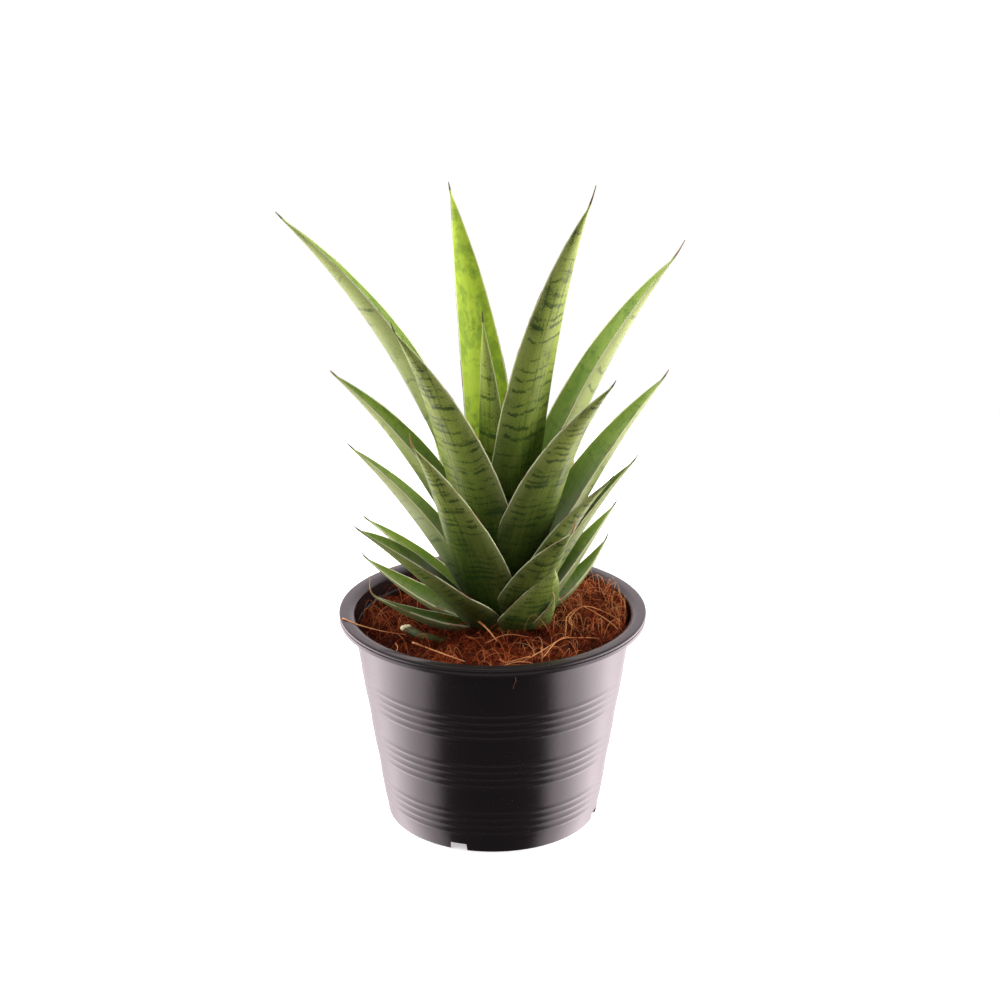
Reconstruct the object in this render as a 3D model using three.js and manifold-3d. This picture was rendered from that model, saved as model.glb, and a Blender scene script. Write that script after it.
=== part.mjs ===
// A potted lotus snake plant: a rosette of stiff, channelled, cross-banded leaves on a short stem,
// growing in coir in a ribbed black nursery pot. Millimetres, +Z up. The pot stands on z = 0.
import * as THREE from "three";
import { mergeVertices } from "three/addons/utils/BufferGeometryUtils.js";
import Module from "manifold-3d";

// Driving dimensions
const GAP = 0.3; // clearance that touching pieces keep

const POT = {
  height: 92,
  rimRadius: 65, // outside of the turned-down rim
  baseRadius: 45.5, // outside of the wall at the foot
  topRadius: 59.3, // outside of the wall under the rim
  wall: 1.3,
  rimDrop: 3.7, // height of the rim's turned-down skirt
  rimSkirt: 1.2, // thickness of that skirt
  floor: 3.4, // underside of the floor, above what the pot stands on
  floorThickness: 1.4,
  ledge: 84, // height of the stacking ledge inside
  segments: 36,
};
const RIBS = { tops: [66, 42.2, 18.7], perGroup: 4, pitch: 3.4, proud: 0.35, rise: 0.4 };
const NOTCH = { count: 4, width: 7.8, height: 3.2, first: -108 }; // drain notches in the foot
const DRAIN = { count: 8, radius: 3.2, circle: 34 }; // drain holes in the floor

const COIR = { level: 85.5, edge: 56, wave: 1.1, tilt: 3, rings: 7, segments: 36 };
// Coarse fibres that lie on the coir.
const FIBRE = { count: 26, radius: 0.45, shortest: 14, longest: 32, lift: 2.4, steps: 5, sides: 4, seed: 7 };

// The short stem tapers evenly from low to the growing tip, where a small bud closes it.
const STEM = { x: 5, y: 1, low: 84, tip: 110, lowRadius: 13, tipRadius: 5, bud: 3, root: 62 };

const LEAF = {
  sides: 8, // points round a section
  steps: 11, // sections from root to tip
  tuck: 5, // length that reaches back under the leaves around it
  thickness: 3.6,
  cuspRadius: 0.45, // of the hard awl point where it leaves the blade
  cuspThinning: 0.65, // share of that radius that it loses by its end
  clasp: 1.25, // half-angle of the root that hugs the stem, in radians
  rootWidth: 0.75, // width of the root, as a share of the full width
};

// One row a leaf, from the youngest in the middle to the oldest at the foot.
// az: the way it leans, seen from above, 0 to the right and 90 to the back. root: height of its root above
// the foot of the pot. lean: from upright, at the root. bend: further lean gained by the tip. long: from
// root to tip. wide: flat width. full: how long it stays wide before it tapers. fold: half-angle of its
// channel. cusp: length of the hard awl point. hook: how far the point curls in, as a share of its length.
// roll: twist about its own length by the tip, where it has one.
const LEAF_COLUMNS = ["name", "az", "root", "lean", "bend", "long", "wide", "full", "fold", "cusp", "hook", "roll"];
const LEAVES = [
  ["leaf_01", -115, 110, 7, 0, 116, 18, 2.4, 50, 5, 0, 0],
  ["leaf_02", 113.5, 109, 8, 21.5, 163, 27, 2.6, 45, 4, 0, 0],
  ["leaf_03", -54, 108, 2, 29, 181, 29, 2.6, 40, 9, 0.1, 0],
  ["leaf_04", 180.5, 106, 12.3, 31.7, 178, 44, 3, 60, 4, 0, 6],
  ["leaf_05", 5, 105, 12, 25, 158, 42, 3, 56, 8.5, 0.1, 0],
  ["leaf_06", -127, 98, 11, 28, 147, 37, 2, 45, 5, 0.2, 0],
  ["leaf_07", -50, 99, 12, 31.5, 122, 38, 2, 45, 4, 0.1, 0],
  ["leaf_08", 178, 100, 20, 26, 114, 38, 2.4, 55, 2.5, 0, 0],
  ["leaf_09", 10, 97, 25, 13, 112, 38, 2.4, 48, 4, 0.1, 0],
  ["leaf_10", 180, 92, 28, 16, 90, 42, 2.4, 45, 3, 0, 8],
  ["leaf_11", -125, 88, 18, 21, 110, 38, 1.6, 45, 7, 0.3, 0],
  ["leaf_12", -34, 90, 18, 23, 81, 30, 2.2, 45, 3, 0.1, 0],
  ["leaf_13", 2, 92, 27, 12, 80, 27, 2.2, 50, 4, 0.1, 0],
  ["leaf_14", -144, 85, 41.5, 7.5, 84, 42, 2, 45, 3.5, 0.1, -14],
  ["leaf_15", 164, 86, 43, 15, 64, 19, 2.2, 50, 3, 0.1, 0],
  ["leaf_16", 14, 87, 39, -6, 60, 22, 2.2, 50, 3, 0, 0],
  ["leaf_17", -52, 86, 18, 26, 67, 36, 2, 45, 8, 0.4, 0],
  ["leaf_18", 168, 83, 71, -23, 56, 19, 2.2, 50, 3.5, 0.2, 0],
  ["leaf_19", 20, 86, 66, -42, 48, 17, 2.2, 50, 3, 0, 0],
  ["leaf_20", -155, 83, 74, -28, 57, 18, 2.2, 50, 7, 0.7, 0],
  ["leaf_21", -46, 82, 30, -20, 44, 42, 2, 45, 6, 0.2, 0],
  ["leaf_22", -42, 83, 56, -54, 27, 16, 2, 45, 3, 0.5, 0],
  ["leaf_23", 72, 109, 22, 14, 108, 26, 2.2, 45, 4, 0.1, 0],
  ["leaf_24", 128, 101, 28, 14, 84, 24, 2.2, 45, 4, 0.1, 0],
  ["leaf_25", 55, 98, 40, 8, 62, 22, 2.2, 45, 4, 0.1, 0],
  ["leaf_26", 100, 91, 48, 8, 66.5, 20, 2.2, 45, 4, 0.1, 0],
].map((row) => Object.fromEntries(LEAF_COLUMNS.map((column, i) => [column, row[i]])));
// An old leaf that was cut off. It curls over the coir: sway is its turn, seen from above, by the cut.
const STUB = {
  name: "cut_leaf",
  az: -130,
  sway: -112,
  root: 82.6,
  lean: 85,
  bend: 0,
  long: 38,
  wide: 5,
  fold: 30,
};

// Helpers
const wasm = await Module();
wasm.setup();
const rad = THREE.MathUtils.degToRad;
const smooth = (x) => THREE.MathUtils.smoothstep(x, 0, 1);

function solidOf(geometry) {
  const bare = geometry.clone();
  bare.deleteAttribute("normal");
  bare.deleteAttribute("uv");
  const merged = mergeVertices(bare, 1e-4);
  const solid = new wasm.Manifold(
    new wasm.Mesh({
      numProp: 3,
      vertProperties: merged.attributes.position.array,
      triVerts: new Uint32Array(merged.index.array),
    }),
  );
  return solid;
}

function geometryOf(solid) {
  const mesh = solid.getMesh();
  const position = new Float32Array(mesh.numVert * 3);
  for (let i = 0; i < mesh.numVert; i++) {
    position.set(mesh.vertProperties.subarray(i * mesh.numProp, i * mesh.numProp + 3), i * 3);
  }
  const geometry = new THREE.BufferGeometry();
  geometry.setAttribute("position", new THREE.BufferAttribute(position, 3));
  geometry.setIndex(new THREE.BufferAttribute(mesh.triVerts, 1));
  geometry.computeVertexNormals();
  return geometry;
}

// The largest body that is left when the cutters are taken away.
function cut(solid, cutters) {
  const left = cutters.reduce((made, cutter) => made.subtract(cutter), solid);
  return left.decompose().reduce((best, body) => (body.volume() > best.volume() ? body : best));
}

// A closed tube through rings of points: ring(i) gives the points of section i, in order round it.
function tube(rings) {
  const sides = rings[0].length;
  const centre = (ring) => ring.reduce((sum, p) => sum.add(p), new THREE.Vector3()).divideScalar(sides);
  const points = [...rings.flat(), centre(rings[0]), centre(rings.at(-1))];
  const first = points.length - 2;
  const last = points.length - 1;
  const index = [];
  for (let i = 0; i < rings.length - 1; i++) {
    for (let j = 0; j < sides; j++) {
      const k = (j + 1) % sides;
      const [a, b, c, d] = [i * sides + j, i * sides + k, (i + 1) * sides + k, (i + 1) * sides + j];
      index.push(a, b, c, a, c, d);
    }
  }
  const end = (rings.length - 1) * sides;
  for (let j = 0; j < sides; j++) {
    const k = (j + 1) % sides;
    index.push(first, k, j);
    index.push(last, end + j, end + k);
  }
  return new THREE.BufferGeometry().setFromPoints(points).setIndex(index);
}

// A LatheGeometry turned so that its axis is +Z. The profile is a list of [radius, height].
function lathe(profile, segments) {
  const points = profile.map(([r, z]) => new THREE.Vector2(r, z));
  return new THREE.LatheGeometry(points, segments).rotateX(Math.PI / 2);
}

// Pot
const wallRadius = (z) =>
  THREE.MathUtils.lerp(POT.baseRadius, POT.topRadius, z / (POT.height - POT.rimDrop));
const innerRadius = (z) => wallRadius(z) - POT.wall;

function potSolid() {
  const under = POT.height - POT.rimDrop;
  const ribs = RIBS.tops
    .flatMap((top) => Array.from({ length: RIBS.perGroup }, (_, i) => top - i * RIBS.pitch))
    .sort((a, b) => a - b)
    .flatMap((z) => [
      [wallRadius(z - RIBS.rise), z - RIBS.rise],
      [wallRadius(z) + RIBS.proud, z],
    ]);
  const floorTop = POT.floor + POT.floorThickness;
  const profile = [
    [0, POT.floor],
    [innerRadius(POT.floor) - 1, POT.floor],
    [innerRadius(0) - 0.6, 0],
    [wallRadius(0), 0],
    ...ribs,
    [wallRadius(under), under + 0.6],
    [POT.rimRadius - POT.rimSkirt, under],
    [POT.rimRadius - 0.4, under],
    [POT.rimRadius, under + 0.6],
    [POT.rimRadius, POT.height - 0.8],
    [POT.rimRadius - 0.8, POT.height],
    [POT.topRadius + 1.2, POT.height],
    [innerRadius(under) + 0.6, POT.height - 1],
    [innerRadius(under), under - 1],
    [innerRadius(POT.ledge) + 0.3, POT.ledge + 0.3],
    [innerRadius(POT.ledge) - 0.2, POT.ledge - 0.2],
    [innerRadius(floorTop + 2), floorTop + 2],
    [innerRadius(floorTop) - 2, floorTop],
    [0, floorTop],
  ];
  let pot = solidOf(lathe(profile, POT.segments));
  for (let i = 0; i < NOTCH.count; i++) {
    const box = new THREE.BoxGeometry(12, NOTCH.width, NOTCH.height * 2);
    box.translate(POT.baseRadius - 2, 0, 0).rotateZ(rad(NOTCH.first + (i * 360) / NOTCH.count));
    pot = pot.subtract(solidOf(box));
  }
  for (let i = 0; i < DRAIN.count; i++) {
    const hole = new THREE.CylinderGeometry(DRAIN.radius, DRAIN.radius, 12, 12).rotateX(Math.PI / 2);
    hole.translate(DRAIN.circle, 0, POT.floor).rotateZ(rad(((i + 0.5) * 360) / DRAIN.count));
    pot = pot.subtract(solidOf(hole));
  }
  return pot;
}

// Stem
const stemRadius = (z) => THREE.MathUtils.mapLinear(z, STEM.low, STEM.tip, STEM.lowRadius, STEM.tipRadius);

function stemSolid(swell = 0) {
  const profile = [
    [0, STEM.root - swell],
    [STEM.lowRadius * 0.6 + swell, STEM.root - swell],
    [STEM.lowRadius + swell, STEM.root + 10],
    [STEM.lowRadius + swell, STEM.low],
    [STEM.tipRadius + swell, STEM.tip + swell / 2],
    [STEM.tipRadius * 0.6 + swell, STEM.tip + STEM.bud * 0.7 + swell],
    [0, STEM.tip + STEM.bud + swell],
  ];
  return solidOf(lathe(profile, 16).translate(STEM.x, STEM.y, 0));
}

// Leaves
// The directions of a leaf at a share t of its length: along it, across it, and in towards its channel.
function leafFrame(leaf, t) {
  const az = rad(leaf.az + (leaf.sway ?? 0) * t);
  const lean = rad(leaf.lean + leaf.bend * t);
  const outward = new THREE.Vector3(Math.cos(az), Math.sin(az), 0);
  const along = outward.multiplyScalar(Math.sin(lean)).setZ(Math.cos(lean));
  const roll = rad(leaf.roll ?? 0) * (1 - (1 - t) ** 2);
  const across = new THREE.Vector3(-Math.sin(az), Math.cos(az), 0).applyAxisAngle(along, roll);
  return { along, across, inward: along.clone().cross(across) };
}

function leafRings(leaf, swell = 0) {
  const hug = stemRadius(leaf.root) + LEAF.thickness / 2;
  const root = new THREE.Vector3(STEM.x, STEM.y, leaf.root);
  root.x += hug * Math.cos(rad(leaf.az));
  root.y += hug * Math.sin(rad(leaf.az));
  const bladeEnd = leaf.full ? 1 - leaf.cusp / leaf.long : 1;
  const turn = rad(Math.hypot(leaf.bend, (leaf.sway ?? 0) * Math.sin(rad(leaf.lean))));
  const rings = [];
  for (let i = 0; i <= (leaf.full ? LEAF.steps : LEAF.steps - 1); i++) {
    const along = THREE.MathUtils.lerp(-LEAF.tuck / leaf.long, bladeEnd, i / (LEAF.steps - 1));
    const t = i === LEAF.steps ? 1 : along;
    const { across, inward } = leafFrame(leaf, t);
    // A bent leaf is an arc, so it reaches t along its chord, which has the direction of its middle.
    const chord = leafFrame(leaf, t / 2).along;
    const half = (turn * t) / 2;
    const centre = root.clone().addScaledVector(chord, leaf.long * t * (half ? Math.sin(half) / half : 1));
    const cuspShare = t > bladeEnd ? 1 : 0;
    if (cuspShare) centre.addScaledVector(inward, leaf.hook * leaf.cusp);
    const belly = THREE.MathUtils.lerp(LEAF.rootWidth, 1, smooth(t / 0.3));
    const taper = leaf.full ? 1 - THREE.MathUtils.clamp(t / bladeEnd, 0, 1) ** leaf.full : 1;
    const point = LEAF.cuspRadius * (1 - LEAF.cuspThinning * cuspShare);
    const width = Math.max((leaf.wide / 2) * belly * taper, point);
    const thinning = leaf.full ? (0.25 + 0.75 * (1 - t)) * Math.sqrt(taper) : 0.8;
    const thick = Math.max((LEAF.thickness / 2) * thinning, point) + swell;
    const fold = THREE.MathUtils.lerp(LEAF.clasp, rad(leaf.fold), smooth(t / 0.35));
    const arc = width / fold;
    const ring = [];
    for (let j = 0; j < LEAF.sides; j++) {
      const angle = (2 * Math.PI * j) / LEAF.sides;
      const bent = (Math.cos(angle) * (width + swell)) / arc;
      const radius = arc - thick * Math.sin(angle);
      ring.push(
        centre
          .clone()
          .addScaledVector(across, radius * Math.sin(bent))
          .addScaledVector(inward, arc - radius * Math.cos(bent)),
      );
    }
    rings.push(ring);
  }
  return rings;
}

const leafSolid = (leaf, swell = 0) => solidOf(tube(leafRings(leaf, swell)));

// Coir
function coirTop(x, y) {
  const heap = 3 * Math.exp(-((x - STEM.x) ** 2 + y ** 2) / 500);
  const bank = 2.5 * Math.exp(-((x - 42) ** 2 + (y - 24) ** 2) / 260);
  const waves = Math.sin(x * 0.21 + 1.3) * Math.cos(y * 0.17) + 0.6 * Math.sin(x * 0.47 - y * 0.39);
  return COIR.level + heap + bank + COIR.wave * waves + (COIR.tilt * x - y) / 60;
}

const ringOf = (radius, height) =>
  Array.from({ length: COIR.segments }, (_, j) => {
    const az = (2 * Math.PI * j) / COIR.segments;
    const [x, y] = [radius * Math.cos(az), radius * Math.sin(az)];
    return new THREE.Vector3(x, y, height ?? coirTop(x, y));
  });

function seededRandom(seed) {
  let state = seed;
  return () => {
    state = (state * 16807) % 2147483647;
    return state / 2147483647;
  };
}

// A fibre: a curl laid over the coir, proud in the middle, with both ends sunk in.
function fibreRings(x, y, heading, curl, length) {
  const rings = [];
  for (let i = 0; i <= FIBRE.steps; i++) {
    const share = i / FIBRE.steps;
    const angle = heading + curl * share;
    const z = coirTop(x, y) + FIBRE.lift * Math.sin(Math.PI * share) - 0.8;
    const ring = [];
    for (let j = 0; j < FIBRE.sides; j++) {
      const turn = (2 * Math.PI * j) / FIBRE.sides;
      const sideways = FIBRE.radius * Math.cos(turn);
      const up = FIBRE.radius * Math.sin(turn);
      ring.push(new THREE.Vector3(x - sideways * Math.sin(angle), y + sideways * Math.cos(angle), z + up));
    }
    rings.push(ring);
    x += (Math.cos(angle) * length) / FIBRE.steps;
    y += (Math.sin(angle) * length) / FIBRE.steps;
  }
  return rings;
}

function coirSolid() {
  const floorTop = POT.floor + POT.floorThickness;
  const rings = [
    ringOf(innerRadius(floorTop) - GAP - 3, floorTop + GAP),
    ringOf(innerRadius(floorTop + 3) - GAP - 0.4, floorTop + 3),
  ];
  for (let i = 0; i < COIR.rings; i++) {
    rings.push(ringOf(COIR.edge * (1 - i / COIR.rings)));
  }
  const random = seededRandom(FIBRE.seed);
  const bodies = [solidOf(tube(rings))];
  while (bodies.length <= FIBRE.count) {
    const from = 20 + 34 * random();
    const az = 2 * Math.PI * random();
    const heading = 2 * Math.PI * random();
    const curl = 4 * (random() - 0.5);
    const length = THREE.MathUtils.lerp(FIBRE.shortest, FIBRE.longest, random());
    const fibre = fibreRings(from * Math.cos(az), from * Math.sin(az), heading, curl, length);
    const reach = Math.max(...fibre.flat().map((p) => Math.hypot(p.x, p.y)));
    if (reach < COIR.edge - 0.5) bodies.push(solidOf(tube(fibre)));
  }
  return wasm.Manifold.union(bodies);
}

// Assembly
const paint = (color, roughness) => new THREE.MeshStandardMaterial({ color, roughness, metalness: 0 });
const materials = {
  pot: paint(0x1b181a, 0.35),
  coir: paint(0x6b3418, 0.95),
  stem: paint(0x8a9a5a, 0.7),
  leaf: paint(0x5f7d36, 0.45),
};

const stem = stemSolid();
const swollenStem = stemSolid(GAP);
const leaves = [];
const older = [];
for (const leaf of [STUB, ...LEAVES].sort((a, b) => a.root - b.root)) {
  leaves.push([leaf.name, cut(leafSolid(leaf), [swollenStem, ...older])]);
  older.push(leafSolid(leaf, GAP));
}
const coir = cut(coirSolid(), [swollenStem, ...older]);

const plant = new THREE.Group();
const add = (name, solid, material) => {
  const mesh = new THREE.Mesh(geometryOf(solid), material.clone());
  mesh.name = name;
  plant.add(mesh);
};
add("pot", potSolid(), materials.pot);
add("coir", coir, materials.coir);
add("stem", stem, materials.stem);
leaves.sort((a, b) => a[0].localeCompare(b[0]));
for (const [name, solid] of leaves) add(name, solid, materials.leaf);

// The origin is under the middle of the whole, on what the pot stands on.
const middle = new THREE.Box3().setFromObject(plant).getCenter(new THREE.Vector3());
plant.position.set(-middle.x, -middle.y, 0);
const whole = new THREE.Group();
whole.add(plant);

export default whole;
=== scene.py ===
import math

import bpy
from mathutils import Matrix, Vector, noise


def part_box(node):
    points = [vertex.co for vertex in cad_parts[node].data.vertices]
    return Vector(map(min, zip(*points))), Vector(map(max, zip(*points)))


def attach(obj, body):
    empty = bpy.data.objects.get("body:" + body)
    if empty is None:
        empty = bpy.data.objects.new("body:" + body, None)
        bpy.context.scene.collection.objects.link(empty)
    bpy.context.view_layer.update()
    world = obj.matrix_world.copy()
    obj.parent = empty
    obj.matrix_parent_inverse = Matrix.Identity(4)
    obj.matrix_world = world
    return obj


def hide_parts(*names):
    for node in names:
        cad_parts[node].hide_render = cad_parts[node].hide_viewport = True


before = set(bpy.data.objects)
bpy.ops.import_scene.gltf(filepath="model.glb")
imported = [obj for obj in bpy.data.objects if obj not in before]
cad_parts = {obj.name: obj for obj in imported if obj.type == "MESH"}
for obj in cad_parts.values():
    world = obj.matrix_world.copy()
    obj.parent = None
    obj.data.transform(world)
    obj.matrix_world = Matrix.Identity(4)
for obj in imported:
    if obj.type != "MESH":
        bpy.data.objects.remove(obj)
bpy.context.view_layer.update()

MM = 0.001

# The pot
# A common round nursery pot, moulded in one piece of black polypropylene. Its rim is turned down outside,
# fine rings go round its wall in three groups of four, and its foot and floor are open for draining.

pot_low, pot_high = (Vector(corner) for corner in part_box("pot"))
AXIS = ((pot_low + pot_high) / 2 / MM).to_2d()  # the pot's axis, in millimetres
POT_HEIGHT = 92
RIM_RADIUS = 65
RIM_DROP = 3.7  # how far the rim is turned down
RIM_SKIRT = 1.2  # how thick it is there
BASE_RADIUS = 45.5
TOP_RADIUS = 59.3
WALL = 1.3
FLOOR = 3.4
FLOOR_TOP = 4.8
LEDGE = 84  # the stacking ledge inside
RING_TOPS = (18.7, 42.2, 66)  # the highest ring of each group
RINGS_A_GROUP = 4
RING_PITCH = 3.4
RING_PROUD = 0.26
RING_BELOW = 0.7  # how far a ring slopes away under its crest
RING_ABOVE = 1.5  # and above it
NOTCHES = 4
NOTCH_WIDTH = 7.8
NOTCH_HEIGHT = 3.2
NOTCH_DRAFT = 0.5  # how much each side of a notch leans in
NOTCH_REACH = 6  # half the length of its cutter
NOTCH_START = -4  # where its cutter starts, under the table
FIRST_NOTCH = -108
DRAINS = 8
DRAIN_RADIUS = 3.2
DRAIN_CIRCLE = 34
DRAIN_HEIGHTS = (1, 7)  # where its cutter starts and ends
DRAIN_TURNS = 32
TURNS = 192  # faces round the pot
CREASE = math.radians(40)  # edges bent more than this stay sharp


def wall_radius(z):
    return BASE_RADIUS + (TOP_RADIUS - BASE_RADIUS) * z / (POT_HEIGHT - RIM_DROP)


def inner_radius(z):
    return wall_radius(z) - WALL


def mesh_object(name, points, faces):
    """A new object of a mesh, given in millimetres, with smooth faces."""
    mesh = bpy.data.meshes.new(name)
    mesh.from_pydata([Vector(p) * MM for p in points], [], faces)
    mesh.shade_smooth()
    made = bpy.data.objects.new(name, mesh)
    bpy.context.collection.objects.link(made)
    return made


NEAR_HALF = 0.48  # a rounding takes less than half of an edge, so that two of them never meet


def rounded(profile, steps=3):
    """A profile of (radius, height, rounding) with each corner turned into a small curve."""
    out = []
    for i, (r, z, rounding) in enumerate(profile):
        here = Vector((r, z))
        if not rounding:
            out.append(here)
            continue
        before = Vector(profile[i - 1][:2])
        after = Vector(profile[i + 1][:2])
        start = here + (before - here).normalized() * min(rounding, (before - here).length * NEAR_HALF)
        end = here + (after - here).normalized() * min(rounding, (after - here).length * NEAR_HALF)
        for step in range(steps + 1):
            share = step / steps
            out.append(start.lerp(here, share).lerp(here.lerp(end, share), share))
    return out


def turned(name, profile, centre, turns):
    """A closed body turned about an upright axis. Its profile starts and ends on the axis."""
    cx, cy = centre
    points = [(cx, cy, profile[0][1])]
    for r, z in profile[1:-1]:
        for j in range(turns):
            angle = 2 * math.pi * j / turns
            points.append((cx + r * math.cos(angle), cy + r * math.sin(angle), z))
    points.append((cx, cy, profile[-1][1]))
    last = len(points) - 1
    faces = []
    for j in range(turns):
        k = (j + 1) % turns
        faces.append((0, 1 + k, 1 + j))
        for i in range(len(profile) - 3):
            a, b = 1 + i * turns, 1 + (i + 1) * turns
            faces.append((a + j, a + k, b + k, b + j))
        faces.append((last - turns + j, last - turns + k, last))
    return mesh_object(name, points, faces)


ring_profile = []
for top in RING_TOPS:
    for ring in reversed(range(RINGS_A_GROUP)):
        z = top - ring * RING_PITCH
        ring_profile += [
            (wall_radius(z - RING_BELOW), z - RING_BELOW, 0.35),
            (wall_radius(z) + RING_PROUD, z, 0.35),
            (wall_radius(z + RING_ABOVE), z + RING_ABOVE, 0.6),
        ]
under_rim = POT_HEIGHT - RIM_DROP
pot_profile = rounded(
    [
        # the raised floor from below, and the foot
        (0, FLOOR, 0),
        (inner_radius(FLOOR) - 1, FLOOR, 0.8),
        (inner_radius(0) - 0.6, 0, 0.25),
        (wall_radius(0), 0, 0.4),
        *ring_profile,
        # the skirt of the rim, the fine groove round it, and its top
        (wall_radius(under_rim), under_rim + 0.6, 0.5),
        (RIM_RADIUS - RIM_SKIRT, under_rim + 0.6, 0.3),
        (RIM_RADIUS - RIM_SKIRT, under_rim, 0.3),
        (RIM_RADIUS - 0.1, under_rim, 0.35),
        (RIM_RADIUS - 0.1, POT_HEIGHT - 1.9, 0.3),
        (RIM_RADIUS - 0.45, POT_HEIGHT - 1.6, 0.25),
        (RIM_RADIUS, POT_HEIGHT - 1.2, 0.3),
        (RIM_RADIUS - 0.2, POT_HEIGHT, 0.9),
        (TOP_RADIUS + 1.2, POT_HEIGHT, 1.2),
        # the inside, down over the stacking ledge to the floor
        (inner_radius(under_rim) + 0.4, POT_HEIGHT - 1.4, 0.6),
        (inner_radius(under_rim), under_rim - 1, 0.5),
        (inner_radius(LEDGE) + 0.3, LEDGE + 0.3, 0.3),
        (inner_radius(LEDGE) - 0.2, LEDGE - 0.2, 0.3),
        (inner_radius(FLOOR_TOP + 2), FLOOR_TOP + 2, 1.2),
        (inner_radius(FLOOR_TOP) - 2, FLOOR_TOP, 1.2),
        (0, FLOOR_TOP, 0),
    ]
)
pot = turned("pot_shell", pot_profile, AXIS, TURNS)


def cut_away(piece, cutter):
    """Takes the cutter out of the piece's mesh and removes the cutter."""
    boolean = piece.modifiers.new("cut", "BOOLEAN")
    boolean.solver = "MANIFOLD"
    boolean.object = cutter
    with_hole = bpy.data.meshes.new_from_object(piece.evaluated_get(bpy.context.evaluated_depsgraph_get()))
    piece.modifiers.remove(boolean)
    piece.data = with_hole
    bpy.data.objects.remove(cutter)


for i in range(NOTCHES):
    angle = math.radians(FIRST_NOTCH + i * 360 / NOTCHES)
    out = Vector((math.cos(angle), math.sin(angle), 0))
    side = Vector((-out.y, out.x, 0))
    foot = AXIS.to_3d() + out * (BASE_RADIUS - 2)
    corners = []
    for height, half in ((NOTCH_START, NOTCH_WIDTH / 2), (NOTCH_HEIGHT, NOTCH_WIDTH / 2 - NOTCH_DRAFT)):
        for along, across in ((-1, -1), (1, -1), (1, 1), (-1, 1)):
            along *= NOTCH_REACH
            corners.append(foot + out * along + side * (across * half) + Vector((0, 0, height)))
    sides = [(0, 1, 5, 4), (1, 2, 6, 5), (2, 3, 7, 6), (3, 0, 4, 7), (3, 2, 1, 0), (4, 5, 6, 7)]
    cut_away(pot, mesh_object("notch", corners, sides))
for i in range(DRAINS):
    angle = 2 * math.pi * (i + 0.5) / DRAINS
    centre = AXIS + Vector((math.cos(angle), math.sin(angle))) * DRAIN_CIRCLE
    low, high = DRAIN_HEIGHTS
    hole = [(0, low), (DRAIN_RADIUS, low), (DRAIN_RADIUS, high), (0, high)]
    cut_away(pot, turned("drain", hole, centre, DRAIN_TURNS))


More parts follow.
